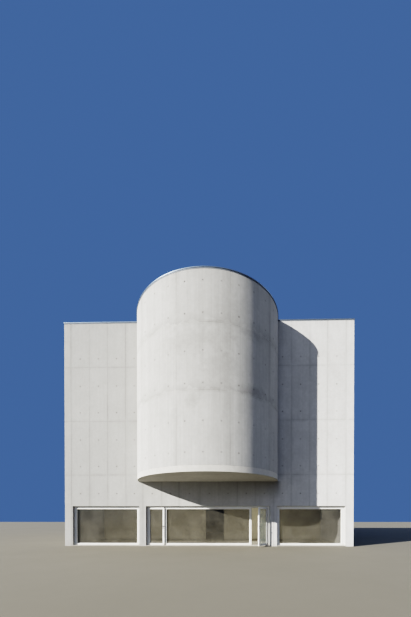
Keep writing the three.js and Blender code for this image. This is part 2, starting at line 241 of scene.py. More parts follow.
def make_lights():
    """A low key light from the left, soft ones round it and from the right, and an even surround.

    A lamp in the entrance hall stands for the light from its floor.
    """
    world = bpy.data.worlds.new("studio")
    world.use_nodes = True
    background = world.node_tree.nodes["Background"]
    background.inputs["Color"].default_value = (0.073, 0.128, 0.270, 1)
    background.inputs["Strength"].default_value = 1.0
    bpy.context.scene.world = world
    lamps = (
        ("key_light", 9.2, (1.0, 0.97, 0.91), 0.6, (-0.752, -0.545, 0.371)),
        ("soft_light", 0.85, (0.92, 0.96, 1.0), 80.0, (-0.74, -0.60, 0.38)),
        ("side_light", 0.50, (0.85, 0.93, 1.0), 60.0, (1.0, 0.25, 0.25)),
    )
    for name, energy, colour, width, towards in lamps:
        light = bpy.data.lights.new(name, "SUN")
        light.energy = energy
        light.color = colour
        light.angle = math.radians(width)
        lamp = add_object(name, light)
        lamp.rotation_mode = "QUATERNION"
        lamp.rotation_quaternion = Vector(towards).to_track_quat("Z", "Y")
    hall = bpy.data.lights.new("hall_light", "AREA")
    hall.shape = "RECTANGLE"
    hall.size, hall.size_y = 14.4, 3.3
    hall.energy = 62.0
    hall.color = (1.0, 0.97, 0.90)
    lamp = add_object("hall_light", hall)
    lamp.location = (0.0, -5.3, 0.07)  # just over the hall's floor
    lamp.rotation_euler = (math.pi, 0.0, 0.0)
    view = bpy.context.scene.view_settings
    view.view_transform = "Filmic"
    view.look = "Very High Contrast"


class Shader:
    """One node material, with short calls that add and link its nodes."""

    MIX_FIRST, MIX_SECOND, MIX_RESULT = 6, 7, 2  # the Mix node's colour sockets

    def __init__(self, name, roughness=0.8, metallic=0.0):
        material = bpy.data.materials.new(name)
        MATERIALS[name] = material
        material.use_nodes = True
        self.nodes = material.node_tree.nodes
        self.links = material.node_tree.links
        self.surface = self.nodes["Principled BSDF"]
        self.surface.inputs["Roughness"].default_value = roughness
        self.surface.inputs["Metallic"].default_value = metallic
        self.place = self.node("TexCoord").outputs["Object"]
        axes = self.node("SeparateXYZ", Vector=self.place)
        self.x, self.z = axes.outputs["X"], axes.outputs["Z"]

    def feed(self, socket, value):
        if isinstance(value, bpy.types.NodeSocket):
            self.links.new(value, socket)
        elif socket.type == "RGBA":
            socket.default_value = (*value, 1)
        else:
            socket.default_value = value

    def node(self, kind, **values):
        """A new node of a kind, with its inputs fed by name."""
        node = self.nodes.new("ShaderNode" + kind)
        for name, value in values.items():
            self.feed(node.inputs[name], value)
        return node

    def stretch(self, scale, offset=(0, 0, 0)):
        return self.node("Mapping", Vector=self.place, Scale=scale, Location=offset).outputs["Vector"]

    def noise(self, scale, detail=3.0, roughness=0.55, stretch=None):
        vector = self.stretch(stretch) if stretch else self.place
        node = self.node("TexNoise", Vector=vector, Scale=scale, Detail=detail, Roughness=roughness)
        return node.outputs["Fac"]

    def attribute(self, name):
        node = self.node("Attribute")
        node.attribute_name = name
        return node.outputs["Fac"]

    def remap(self, value, low, high, to_low=0.0, to_high=1.0):
        node = self.node("MapRange", Value=value)
        for socket, number in zip(node.inputs[1:5], (low, high, to_low, to_high)):
            socket.default_value = number
        return node.outputs["Result"]

    def math(self, operation, first, second=0.0):
        node = self.node("Math")
        node.operation = operation
        self.feed(node.inputs[0], first)
        self.feed(node.inputs[1], second)
        return node.outputs["Value"]

    def times(self, first, second):
        return self.math("MULTIPLY", first, second)

    def mix(self, share, first, second):
        node = self.node("Mix")
        node.data_type = "RGBA"
        self.feed(node.inputs["Factor"], share)
        self.feed(node.inputs[self.MIX_FIRST], first)
        self.feed(node.inputs[self.MIX_SECOND], second)
        return node.outputs[self.MIX_RESULT]

    def tint(self, colour, tone, value, low, high, most=1.0):
        """The colour with a tone mixed in as the value grows from low to high, at most to a share."""
        return self.mix(self.remap(value, low, high, 0.0, most), colour, tone)

    def spot(self, centre, radii):
        """1 in the middle of a ragged blob with the given half-widths, falling to 0 outside it."""
        node = self.node("VectorMath")
        node.operation = "LENGTH"
        scale = tuple(1 / radius for radius in radii)
        offset = tuple(-place / radius for place, radius in zip(centre, radii))
        self.feed(node.inputs[0], self.stretch(scale, offset))
        edge = self.remap(self.noise(4.0, 5.0, 0.65), 0.3, 0.7, -0.5, 0.5)
        return self.remap(self.math("ADD", node.outputs["Value"], edge), 0.1, 1.2, 1.0, 0.0)

    def colour(self, value):
        self.feed(self.surface.inputs["Base Color"], value)

    def rough(self, value):
        self.feed(self.surface.inputs["Roughness"], value)

    def bump(self, height, distance, below=None):
        node = self.node("Bump", Distance=distance, Height=height)
        if below is not None:
            self.feed(node.inputs["Normal"], below)
        self.feed(self.surface.inputs["Normal"], node.outputs["Normal"])
        return node.outputs["Normal"]


def add_pores(shader, colour):
    """Small blow holes: dark pits in a few of the cells."""
    cells = shader.node("TexVoronoi", Vector=shader.place, Scale=45.0)
    chosen = shader.remap(cells.outputs["Color"], 0.86, 0.87)
    pit = shader.remap(cells.outputs["Distance"], 0.10, 0.22, 1.0, 0.0)
    pores = shader.times(chosen, pit)
    return shader.mix(shader.times(pores, 0.45), colour, DAMP_AND_SHADE), pores


def add_lift_marks(shader, colour, lift):
    """A ragged dark fringe over the joint between two pours, and a thin pale line at it."""
    ragged = shader.noise(1.0, 5.0, 0.7, (2.2, 2.2, 0.9))
    edge = shader.remap(ragged, 0.3, 0.7, lift - 0.12, lift + 0.22)
    above = shader.math("SUBTRACT", shader.z, edge)
    fringe = shader.times(shader.remap(above, 0.0, 0.05), shader.remap(above, 0.05, 0.40, 1.0, 0.0))
    patches = shader.remap(shader.noise(1.1, 3.0, 0.6), 0.40, 0.62, 0.16, 0.46)
    colour = shader.mix(shader.times(fringe, patches), colour, DAMP_AND_SHADE)
    away = shader.math("ABSOLUTE", shader.math("SUBTRACT", shader.z, lift))
    line = shader.times(shader.remap(away, 0.01, 0.05, 1.0, 0.0), 0.12)
    return shader.mix(line, colour, LIME)


def add_painted_shade_under_apse(shader, colour, heights, reach, most):
    """Painted shade under the apse: the colour darkens upwards towards its underside and to the right, where the
    shade under it is deepest.
    """
    low, high = heights
    below = shader.remap(shader.z, high, high + 0.02, 1.0, 0.0)
    rising = shader.times(shader.remap(shader.z, low, high), below)
    along = shader.remap(shader.x, *reach, 0.0, most)
    end = shader.remap(shader.x, APSE_RADIUS, APSE_RADIUS + 0.2, 1.0, 0.0)
    return shader.mix(shader.times(rising, shader.times(along, end)), colour, SOOT_AND_SHADE)


def add_seams(shader, colour, share):
    """Dark bands along the panel joints with a darker core, worn pale in places."""
    seam = shader.attribute("seam")
    band = shader.times(shader.remap(seam, 0.0, 0.3), share)
    core = shader.times(shader.remap(seam, 0.3, 1.0), 0.30)
    wear = shader.noise(1.0, 3.0, 0.55, (1.1, 1.1, 0.5))
    fade = shader.remap(wear, 0.35, 0.65, 0.25, 1.0)
    return shader.mix(shader.times(shader.math("ADD", band, core), fade), colour, SOOT_AND_SHADE)


def add_ties(shader, colour):
    tie = shader.attribute("tie")
    core = shader.times(shader.math("POWER", tie, 4.0), 0.28)
    pit = shader.math("ADD", shader.times(tie, 0.42), core)
    return shader.mix(pit, colour, SOOT_AND_SHADE)


def add_weather(shader, colour, mottle):
    """Drips under the coping and splashes over the ground."""
    top = shader.remap(shader.z, WALL_TOP - 0.5, WALL_TOP)
    trails = shader.noise(1.0, 3.0, 0.6, (9.0, 9.0, 0.5))
    drips = shader.remap(trails, 0.45, 0.7, 0.02, 0.16)
    colour = shader.mix(shader.times(top, drips), colour, SOOT_AND_SHADE)
    low = shader.remap(shader.z, 0.0, 0.35, 0.35, 0.0)
    return shader.mix(shader.times(low, shader.remap(mottle, 0.35, 0.6)), colour, MUD)


def concrete_material(name, left, right, streak, lifts=(), stains_and_shade=(), seam_share=0.13, painted_shade=None):
    """Cast concrete: panel tones, board streaks, seams, tie holes, stains, painted shade and blow holes."""
    shader = Shader(name, roughness=0.85)
    colour = shader.tint(left, right, shader.x, -TONE_REACH, TONE_REACH)
    colour = shader.tint(colour, CLOUD, shader.noise(0.45, 5.0, 0.6), 0.34, 0.68, 0.20)
    colour = shader.tint(colour, PANEL_DARK, shader.attribute("panel"), 0.0, 1.0, 0.16)
    boards = shader.noise(1.0, 3.0, 0.6, (14.0, 14.0, 0.22))
    colour = shader.tint(colour, SOOT_AND_SHADE, boards, 0.35, 0.65, 2 * streak)
    runs = shader.noise(1.0, 4.0, 0.6, (2.6, 2.6, 0.12))
    colour = shader.tint(colour, SOOT_AND_SHADE, runs, 0.42, 0.72, 2 * streak)
    mottle = shader.noise(7.0, 6.0, 0.65)
    colour = shader.tint(colour, DAMP_AND_SHADE, mottle, 0.3, 0.7, 0.20)
    blotch = shader.noise(2.3, 4.0, 0.6, (1.0, 1.0, 0.7))
    colour = shader.tint(colour, DAMP_AND_SHADE, blotch, 0.38, 0.66, 0.14)
    for lift in lifts:
        colour = add_lift_marks(shader, colour, lift)
    # stains, and on the apse one blob of painted shade
    for centre, radii, share in stains_and_shade:
        colour = shader.mix(shader.times(shader.spot(centre, radii), share), colour, DAMP_AND_SHADE)
    colour = add_seams(shader, colour, seam_share)
    colour = add_ties(shader, colour)
    colour = add_weather(shader, colour, mottle)
    # painted shade under the apse, darker upwards and to the right
    if painted_shade:
        colour = add_painted_shade_under_apse(shader, colour, *painted_shade)
    colour, pores = add_pores(shader, colour)
    shader.colour(colour)
    shader.surface.inputs["Diffuse Roughness"].default_value = 0.6
    shader.rough(shader.remap(mottle, 0.3, 0.7, 0.78, 0.92))
    waves = shader.bump(shader.noise(1.6, 2.0), 0.005)
    grain = shader.bump(shader.noise(90.0, 4.0, 0.7), 0.0006, waves)
    shader.bump(shader.times(pores, -1.0), 0.003, grain)


def plain_material(name, light, dark, scale, roughness, grain=0.0005, metallic=0.0):
    """A cloudy surface between two tones; grain is the depth of its fine bump."""
    shader = Shader(name, metallic=metallic)
    cloud = shader.remap(shader.noise(scale, 5.0, 0.6), 0.3, 0.7)
    shader.colour(shader.mix(cloud, light, dark))
    shader.rough(shader.remap(cloud, 0.0, 1.0, roughness - 0.05, roughness + 0.05))
    shader.bump(shader.noise(scale * 30, 3.0), grain)


def floor_material():
    """Worn screed, darker on the slab's edge where it meets the ground."""
    shader = Shader("floor_concrete", roughness=0.8)
    cloud = shader.noise(1.5, 5.0, 0.6)
    colour = shader.tint((0.74, 0.71, 0.63), (0.62, 0.59, 0.52), cloud, 0.3, 0.7)
    edge = shader.remap(shader.z, FLOOR_TOP - 0.004, FLOOR_TOP - 0.001, 0.9, 0.0)
    shader.colour(shader.mix(edge, colour, SOOT_AND_SHADE))
    shader.bump(shader.noise(45.0, 3.0), 0.0005)


def plaster_material():
    """Mottled ochre wall seen through the dusty glass, with scuffs near the floor."""
    shader = Shader("plaster", roughness=0.9)
    cloud = shader.noise(0.7, 6.0, 0.65)
    colour = shader.tint((0.80, 0.76, 0.62), (0.62, 0.58, 0.46), cloud, 0.35, 0.65)
    smear = shader.noise(1.0, 5.0, 0.7, (2.4, 2.4, 1.1))
    colour = shader.tint(colour, (0.20, 0.18, 0.15), smear, 0.55, 0.75, 0.35)
    low = shader.remap(shader.z, 0.1, 1.2, 0.15, 0.0)
    scuff = shader.remap(shader.noise(3.0, 5.0, 0.7), 0.45, 0.7)
    colour = shader.mix(shader.times(low, scuff), colour, (0.25, 0.23, 0.20))
    shader.colour(colour)
    shader.bump(shader.noise(25.0, 5.0, 0.7), 0.002)


def glass_material(name, thin, thick, alpha):
    """Glass under a film of building dust, coloured thin or thick; alpha is the share it covers.

    A pane is a closed box, so light meets this surface twice.
    """
    shader = Shader(name, roughness=0.08)
    film = shader.noise(1.3, 5.0, 0.65)
    dusty = shader.remap(film, 0.35, 0.68)
    runs = shader.noise(1.0, 4.0, 0.6, (10.0, 10.0, 0.8))
    streaky = shader.remap(runs, 0.5, 0.8)
    low = shader.remap(shader.z, GLASS_LOW, GLASS_LOW + 0.7, 0.6, 0.0)
    dust = shader.math("ADD", shader.math("ADD", dusty, shader.times(streaky, 0.4)), low)
    share = shader.remap(dust, 0.0, 1.6)
    shader.colour(shader.mix(share, thin, thick))
    shader.feed(shader.surface.inputs["Alpha"], shader.remap(share, 0.0, 1.0, alpha, alpha + 0.10))
    shader.surface.inputs["IOR"].default_value = 1.5


def painted_material():
    """Satin white paint with patches of grime, and mud near the ground."""
    shader = Shader("white_frame")
    patches = shader.noise(2.5, 5.0, 0.6)
    colour = shader.tint((0.69, 0.685, 0.655), (0.50, 0.48, 0.43), patches, 0.4, 0.75, 0.15)
    low = shader.times(shader.remap(shader.z, 0.05, 0.22, 0.45, 0.0), shader.remap(patches, 0.35, 0.6))
    shader.colour(shader.mix(low, colour, (0.50, 0.46, 0.38)))
    shader.rough(shader.remap(patches, 0.3, 0.7, 0.34, 0.46))
    shader.bump(shader.noise(220.0, 2.0), 0.0001)


def coping_material():
    shader = Shader("coping_metal", metallic=0.75)
    bloom = shader.remap(shader.noise(1.8, 5.0, 0.6), 0.35, 0.7)
    shader.colour(shader.mix(bloom, (0.25, 0.30, 0.36), (0.20, 0.24, 0.29)))
    shader.rough(shader.remap(bloom, 0.0, 1.0, 0.32, 0.42))
    shader.bump(shader.noise(3.0, 2.0), 0.003)


def roofing_material():
    """Grey felt with mineral chips, dried puddles and dark laps."""
    shader = Shader("roofing", roughness=0.92)
    cloud = shader.noise(0.5, 5.0, 0.6)
    colour = shader.tint((0.25, 0.255, 0.26), (0.17, 0.17, 0.172), cloud, 0.35, 0.65)
    ponds = shader.noise(0.3, 3.0, 0.5)
    colour = shader.tint(colour, (0.34, 0.32, 0.28), ponds, 0.55, 0.60, 0.3)
    chips = shader.noise(160.0, 2.0)
    colour = shader.tint(colour, (0.36, 0.36, 0.35), chips, 0.45, 0.62)
    colour = shader.mix(shader.times(shader.attribute("seam"), 0.8), colour, (0.05, 0.05, 0.05))
    shader.colour(colour)
    shader.bump(chips, 0.002)


def apse_stain_and_shade(angle, z, half_width, half_height, share):
    """A row of the apse's stains and painted shade as the centre, half-widths and strength of a blob on the apse.
    """
    centre = apse_point(angle, APSE_RADIUS, z)
    return tuple(centre), (half_width, half_width, half_height), share


def make_materials():
    # On the block the base tone runs from darker on the left to lighter on the right: painted shade on the left,
    # where the apse throws light back onto the wall, and painted light on the right.
    board_tones = ((0.465, 0.462, 0.445), (0.64, 0.637, 0.625))
    # On the apse the base tone darkens to the right: painted shade where the light falls off towards its shaded
    # side.
    apse_tones = ((0.56, 0.555, 0.535), (0.49, 0.486, 0.47))
    smooth_tone = (0.58, 0.565, 0.525)
    apse_stains_and_shade = [apse_stain_and_shade(*row) for row in APSE_STAINS_AND_SHADE]
    front_stains = [((-6.36, -HALF, 3.0), (0.16, 0.3, 0.42), 0.14)]
    # Painted shade under the apse, on the lintel and on the apse's underside: heights, reach along the wall and
    # strongest share.
    lintel_painted_shade = ((APSE_UNDERSIDE - 1.0, APSE_UNDERSIDE), (-2.5, 3.2), 0.75)
    soffit_painted_shade = ((APSE_UNDERSIDE - 0.01, APSE_UNDERSIDE), (-0.5, 2.5), 0.42)
    concrete_material("board_concrete", *board_tones, 0.03)
    concrete_material("front_concrete", *board_tones, 0.03, stains_and_shade=front_stains, painted_shade=lintel_painted_shade)
    concrete_material("apse_concrete", *apse_tones, 0.07, APSE_LIFT_HEIGHTS, apse_stains_and_shade, 0.22)
    concrete_material("smooth_concrete", smooth_tone, smooth_tone, 0.01, painted_shade=soffit_painted_shade)
    floor_material()
    plain_material("handle_metal", (0.05, 0.05, 0.055), (0.03, 0.03, 0.032), 20.0, 0.35, 0.0001, 0.9)
    plain_material("gasket", (0.02, 0.02, 0.02), (0.035, 0.034, 0.032), 20.0, 0.6)
    # The strip's dark colour is partly painted shade: it stands in for the shade in the gap under the coping's
    # folded edge.
    plain_material("coping_strip_and_shade", (0.15, 0.17, 0.19), (0.11, 0.12, 0.14), 4.0, 0.7)
    plain_material("sealant", (0.30, 0.295, 0.28), (0.22, 0.215, 0.20), 9.0, 0.7)
    plaster_material()
    glass_material("window_glass", (0.045, 0.043, 0.036), (0.130, 0.123, 0.103), 0.39)
    # A paler copy of the dusty glass for the open right leaf: partly painted light, the sunlit film and the sky
    # reflected in it.
    glass_material("pale_glass_painted_light", (0.50, 0.54, 0.47), (0.60, 0.64, 0.56), 0.32)
    painted_material()
    coping_material()
    roofing_material()


def new_piece(name, points, faces, material, body="building", slot=None, replaces=(), merge=False):
    """A mesh piece that rides on a body and hides the nodes it stands for; the slot it is given is not used."""
    mesh = bpy.data.meshes.new(name)
    mesh.from_pydata([tuple(point) for point in points], [], faces)
    mesh.materials.append(MATERIALS[material])
    tidy = bmesh.new()
    tidy.from_mesh(mesh)
    if merge:
        bmesh.ops.remove_doubles(tidy, verts=tidy.verts, dist=MERGE_DISTANCE)
        bmesh.ops.dissolve_degenerate(tidy, edges=tidy.edges, dist=SHORTEST_EDGE)
    bmesh.ops.recalc_face_normals(tidy, faces=tidy.faces)
    tidy.to_mesh(mesh)
    tidy.free()
    piece = add_object(name, mesh)
    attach(piece, body)
    slot or material
    if replaces:
        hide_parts(*replaces)
    return piece


def smooth_round(piece):
    piece.data.shade_smooth()
    piece.data.set_sharp_from_angle(angle=math.radians(SMOOTH_ANGLE))


def store(mesh, label, domain, values):
    """Keeps one number for each point, edge or face of a mesh under a label."""
    mesh.attributes.new(label, "FLOAT", domain).data.foreach_set("value", values)


class Bits:
    """Closed bits that are gathered into one piece."""

    def __init__(self, *bits):
        self.points = []
        self.faces = []
        for bit in bits:
            self.add(bit)

    def add(self, bit):
        points, faces = bit
        start = len(self.points)
        self.points.extend(points)
        self.faces.extend([[start + corner for corner in face] for face in faces])

    def piece(self, name, material, **more):
        return new_piece(name, self.points, self.faces, material, **more)


def swept(rings, closed=False):
    """Points and faces of a closed section carried through a list of rings of points."""
    size = len(rings[0])
    points = [point for ring in rings for point in ring]
    faces = []
    spans = len(rings) if closed else len(rings) - 1
    for step in range(spans):
        here = step * size
        there = (step + 1) % len(rings) * size
        for side in range(size):
            after = (side + 1) % size
            faces.append([here + side, here + after, there + after, there + side])
    if not closed:
        faces.append(list(range(size))[::-1])
        last = (len(rings) - 1) * size
        faces.append([last + side for side in range(size)])
    return points, faces


def mitred(place, rect, section, closed=True):
    """A section of (outward step, depth) carried up, over and down a rectangle, and along its foot."""
    left, right, low, high = rect
    corners = ((left, low, -1, -1), (left, high, -1, 1), (right, high, 1, 1), (right, low, 1, -1))
    rings = []
    for u, z, du, dz in corners:
        rings.append([place(u + du * step, z + dz * step, depth) for step, depth in section])
    return swept(rings, closed)


def turned(place, x, z, profile):
    """A profile of (depth, radius) turned about the axis through (x, z)."""
    sides = 24
    angles = [math.tau * side / sides for side in range(sides)]
    rings = []
    for depth, radius in profile:
        ring = [(x + radius * math.cos(angle), z + radius * math.sin(angle)) for angle in angles]
        rings.append([place(*point, depth) for point in ring])
    return swept(rings)


class CastWall:
    """A wall drawn on a grid of lines, with grooves at the panel joints and pits at the ties.

    u runs along the wall, z up and v from the outer face inwards.
    """

    def __init__(self, place, thickness, u_lines, z_lines, is_open, ties, seed, column_tones=None):
        self.place = place
        self.thickness = thickness
        self.u_lines = u_lines
        self.z_lines = z_lines
        self.is_open = is_open
        self.ties = ties
        self.random = random.Random(seed)
        self.column_tones = column_tones
        self.points = []
        self.seam = []
        self.tie = []
        self.faces = []
        self.tones = []
        self.arris_edges = []
        self.outer = {}
        self.inner = {}

    def add_point(self, u, z, v, seam=0.0, tie=0.0):
        self.points.append(self.place(u, z, v))
        self.seam.append(seam)
        self.tie.append(tie)
        return len(self.points) - 1

    def add_face(self, corners, tone):
        self.faces.append(corners)
        self.tones.append(tone)

    def outer_point(self, i, k):
        if (i, k) not in self.outer:
            u, u_depth, u_seam = self.u_lines[i]
            z, z_depth, z_seam = self.z_lines[k]
            seam = max(u_seam, z_seam)
            self.outer[i, k] = self.add_point(u, z, max(u_depth, z_depth), seam)
        return self.outer[i, k]

    def inner_point(self, i, k):
        if (i, k) not in self.inner:
            self.inner[i, k] = self.add_point(self.u_lines[i][0], self.z_lines[k][0], self.thickness)
        return self.inner[i, k]

    def is_solid(self, i, k):
        if not (0 <= i < len(self.u_lines) - 1 and 0 <= k < len(self.z_lines) - 1):
            return False
        u = (self.u_lines[i][0] + self.u_lines[i + 1][0]) / 2
        z = (self.z_lines[k][0] + self.z_lines[k + 1][0]) / 2
        return not self.is_open(u, z)

    def tie_in(self, i, k):
        u_low, u_high = self.u_lines[i][0], self.u_lines[i + 1][0]
        z_low, z_high = self.z_lines[k][0], self.z_lines[k + 1][0]
        reach = TIE_HALO_RADIUS
        for tie in self.ties:
            if u_low + reach < tie[0] < u_high - reach and z_low + reach < tie[1] < z_high - reach:
                return tie
        return None

    def ring(self, centre, radius, depth, tie):
        points = []
        for side in range(TIE_SIDES):
            angle = math.tau * (side + 0.5) / TIE_SIDES
            u = centre[0] + radius * math.cos(angle)
            z = centre[1] + radius * math.sin(angle)
            points.append(self.add_point(u, z, depth, 0.0, tie))
        return points

    def add_tie(self, corners, tie, tone):
        """An outer face with a pit: four faces round a flat ring, the pit's wall and its bottom."""
        strength = tie[2] * self.random.uniform(*TIE_STRENGTHS)
        halo = self.ring(tie, TIE_HALO_RADIUS, 0.0, 0.0)
        mouth = self.ring(tie, TIE_RADIUS, 0.0, strength)
        bottom = self.ring(tie, TIE_BOTTOM_RADIUS, TIE_DEPTH, strength)
        quarter = TIE_SIDES // 4
        first = TIE_SIDES // 8
        for side in range(4):
            start = first + quarter * (side - 1)
            arc = [halo[(start + step) % TIE_SIDES] for step in range(quarter + 1)]
            edge = [corners[(side + 1) % 4], corners[(side + 2) % 4]]
            self.add_face(edge + arc[::-1], tone)
        for one, two in ((halo, mouth), (mouth, bottom)):
            for side in range(TIE_SIDES):
                after = (side + 1) % TIE_SIDES
                self.add_face([one[side], one[after], two[after], two[side]], tone)
        self.add_face(bottom, tone)

    def add_cell(self, i, k, tone):
        steps = ((0, 0), (1, 0), (1, 1), (0, 1))
        outer = [self.outer_point(i + di, k + dk) for di, dk in steps]
        inner = [self.inner_point(i + di, k + dk) for di, dk in steps]
        tie = self.tie_in(i, k)
        if tie:
            self.add_tie(outer, tie, tone)
        else:
            self.add_face(outer, tone)
        self.add_face(inner[::-1], tone)
        beside = ((0, -1), (1, 0), (0, 1), (-1, 0))
        for side, (di, dk) in enumerate(beside):
            if self.is_solid(i + di, k + dk):
                continue
            after = (side + 1) % 4
            self.add_face([outer[after], outer[side], inner[side], inner[after]], tone)
            self.arris_edges.append((outer[side], outer[after]))

    def panel_tones(self):
        """One tone for each stretch between two grooves, along and up the wall."""
        columns = [0]
        for line in self.u_lines[:-1]:
            columns.append(columns[-1] + (line[1] > 0))
        rows = [0]
        for line in self.z_lines[:-1]:
            rows.append(rows[-1] + (line[1] > 0))
        tones = {}
        for column in range(max(columns) + 1):
            middle = self.column_tones[column] if self.column_tones else 0.5
            for row in range(max(rows) + 1):
                tones[column, row] = middle + self.random.uniform(-TONE_SPREAD, TONE_SPREAD)
        return lambda i, k: tones[columns[i + 1], rows[k + 1]]

    def build(self, name, material, replaces, smooth=False):
        tone = self.panel_tones()
        for i in range(len(self.u_lines) - 1):
            for k in range(len(self.z_lines) - 1):
                if self.is_solid(i, k):
                    self.add_cell(i, k, tone(i, k))
        more = {"slot": "board_concrete", "replaces": replaces}
        piece = new_piece(name, self.points, self.faces, material, **more)
        mesh = piece.data
        store(mesh, "seam", "POINT", self.seam)
        store(mesh, "tie", "POINT", self.tie)
        store(mesh, "panel", "FACE", self.tones)
        if smooth:
            smooth_round(piece)
        weigh_edges(mesh, self.arris_edges)
        soften(piece, ARRIS, weighted=True)


def weigh_edges(mesh, edges):
    wanted = {tuple(sorted(edge)) for edge in edges}
    weights = [float(tuple(sorted(edge.vertices)) in wanted) for edge in mesh.edges]
    store(mesh, "bevel_weight_edge", "EDGE", weights)


def soften(piece, width, weighted=False):
    bevel = piece.modifiers.new("arris", "BEVEL")
    bevel.width = width
    bevel.segments = 2
    bevel.limit_method = "WEIGHT" if weighted else "ANGLE"
    bevel.angle_limit = math.radians(ARRIS_ANGLE)
    bevel.use_clamp_overlap = True


def seam_at(offset, profile):
    """How strong a seam is at a distance from its joint, by a profile of (distance, strength)."""
    for (low, start), (high, end) in zip(profile, profile[1:]):
        if low <= offset <= high:
            return start + (end - start) * (offset - low) / (high - low)
    return 0.0


def ruled(edges, joints, profile):
    """Grid lines as (place, groove depth, seam), with a row of lines round each joint."""
    clear = 0.001
    low, high = min(edges) + clear, max(edges) - clear
    places = {round(edge, 5) for edge in edges}
    grooves = {round(joint, 5) for joint in joints}
    for joint in joints:
        for offset in [0.0] + [offset for offset, _ in profile]:
            if low < joint + offset < high:
                places.add(round(joint + offset, 5))
    lines = []
    for place in sorted(places):
        seam = max(seam_at(place - joint, profile) for joint in joints)
        lines.append((place, GROOVE_DEPTH if place in grooves else 0.0, seam))
    return lines


def facade_place(turn):
    """Maps (u, z, v) on a side of the block, turned about the building's axis, to a point."""
    cosine = math.cos(math.radians(turn))
    sine = math.sin(math.radians(turn))

    def place(u, z, v):
        y = v - HALF
        return Vector((u * cosine - y * sine, u * sine + y * cosine, z))

    return place


def tie_places(joints, rows):
    """A tie in the middle of each panel at each height, as (u, z, strength)."""
    middles = [(low + high) / 2 for low, high in zip(joints, joints[1:])]
    return [(u, z, 1.0) for u in middles for z in rows]


def build_front_wall():
    """The front, open for the glazing below and for the apse above."""
    apse_edge = math.sqrt((APSE_RADIUS + 2 * JOINT) ** 2 - WALL ** 2)
    apse_edge_inside = APSE_RADIUS + 3 * JOINT
    rounding = 1e-4  # more than ruled takes off
    front = facade_place(0)

    def place(u, z, v):
        if v > WALL / 2 and abs(abs(u) - apse_edge) < rounding:
            u = math.copysign(apse_edge_inside, u)
        return front(u, z, v)

    def is_open(u, z):
        if z > APSE_UNDERSIDE:
            return abs(u) < apse_edge
        if z > OPENING_TOP:
            return False
        return abs(u) < CENTRE_OPENING or WINDOW_NEAR < abs(u) < WINDOW_FAR

    marks = [HALF, WINDOW_FAR, WINDOW_NEAR, CENTRE_OPENING, apse_edge]
    u_lines = ruled([-mark for mark in marks] + marks, JOINTS, DOUBLE_SEAM)
    heights = (0.0, OPENING_TOP, APSE_UNDERSIDE, WALL_TOP) + BETWEEN_TIES
    z_lines = ruled(heights, LIFT_HEIGHTS, SEAM)
    ties = tie_places(JOINTS, TIE_ROWS)
    wall = CastWall(place, WALL, u_lines, z_lines, is_open, ties, seed=11)
    nodes = ["front_lintel", "front_wall_left", "front_wall_right", "front_pier_left",
             "front_pier_right", "front_corner_left", "front_corner_right"]
    wall.build("front_wall", "front_concrete", nodes)


def build_plain_wall(name, turn, half_width, openings, nodes, seed):
    """A side or the rear; the sides stop between the others and have no joint near their ends."""
    clear = 0.2
    joints = [joint for joint in JOINTS if abs(joint) < half_width - clear or half_width == HALF]

    def is_open(u, z):
        return z < OPENING_TOP and any(low < u < high for low, high in openings)

    marks = [-half_width, half_width] + [edge for opening in openings for edge in opening]
    u_lines = ruled(marks, joints, DOUBLE_SEAM)
    z_lines = ruled((0.0, OPENING_TOP, WALL_TOP) + BETWEEN_TIES, LIFT_HEIGHTS, SEAM)
    ties = tie_places(joints, TIE_ROWS)
    wall = CastWall(facade_place(turn), WALL, u_lines, z_lines, is_open, ties, seed)
    wall.build(f"{name}_wall_cast", "board_concrete", nodes)


def apse_point(angle, radius, z):
    """A point about the apse's axis; the angle in degrees is 0 straight ahead and grows rightwards."""
    turn = math.radians(angle)
    return Vector((radius * math.sin(turn), -INSIDE - radius * math.cos(turn), z))


def apse_rings(section):
    """A section of (radius, height) carried round the apse in even steps."""
    angles = range(-90, 91, APSE_STEP)
    return [[apse_point(angle, radius, z) for radius, z in section] for angle in angles]


def build_apse_wall():
    def place(u, z, v):
        return apse_point(math.degrees(u / APSE_RADIUS), APSE_RADIUS - v, z)

    def arc(angle):
        return math.radians(angle) * APSE_RADIUS

    joints = [arc(angle) for angle in APSE_JOINT_ANGLES]
    odd = range(-89, 88, APSE_STEP)  # clear of the joints, whose angles are even
    edges = [arc(-90), arc(90)] + [arc(angle) for angle in odd]
    ties = []
    for start in (-90,) + APSE_JOINT_ANGLES:
        for step, strength in APSE_TIE_STEPS:
            ties += [(arc(start + step), z, strength) for z in APSE_TIE_ROWS]
    u_lines = ruled(edges, joints, APSE_SEAM)
    heights = (APSE_FLOOR_TOP + 2 * JOINT, WALL_TOP) + APSE_BETWEEN_TIES
    z_lines = ruled(heights, APSE_LIFT_HEIGHTS, SEAM)
    wall = CastWall(place, APSE_WALL, u_lines, z_lines, lambda u, z: False, ties, 5, APSE_TONES)
    nodes = [f"apse_wall_{number}" for number in range(1, 6)]
    wall.build("apse_wall", "apse_concrete", nodes, smooth=True)


def build_apse_floor():
    """The slab under the apse, with a smooth edge and a drip groove round its underside."""
    arris = 0.006
    drip_out = APSE_RADIUS - 0.06
    drip_in = drip_out - 0.02
    drip_top = APSE_UNDERSIDE + 0.012
    section = [
        (0.0, APSE_FLOOR_TOP), (APSE_RADIUS - arris, APSE_FLOOR_TOP),
        (APSE_RADIUS, APSE_FLOOR_TOP - arris), (APSE_RADIUS, APSE_UNDERSIDE + arris),
        (APSE_RADIUS - arris, APSE_UNDERSIDE), (drip_out, APSE_UNDERSIDE),
        (drip_out, drip_top), (drip_in, drip_top),
        (drip_in, APSE_UNDERSIDE), (0.0, APSE_UNDERSIDE),
    ]
    band = Bits(swept(apse_rings(section)))
    smooth_round(band.piece("apse_floor_band", "smooth_concrete", replaces=["apse_floor"], merge=True))


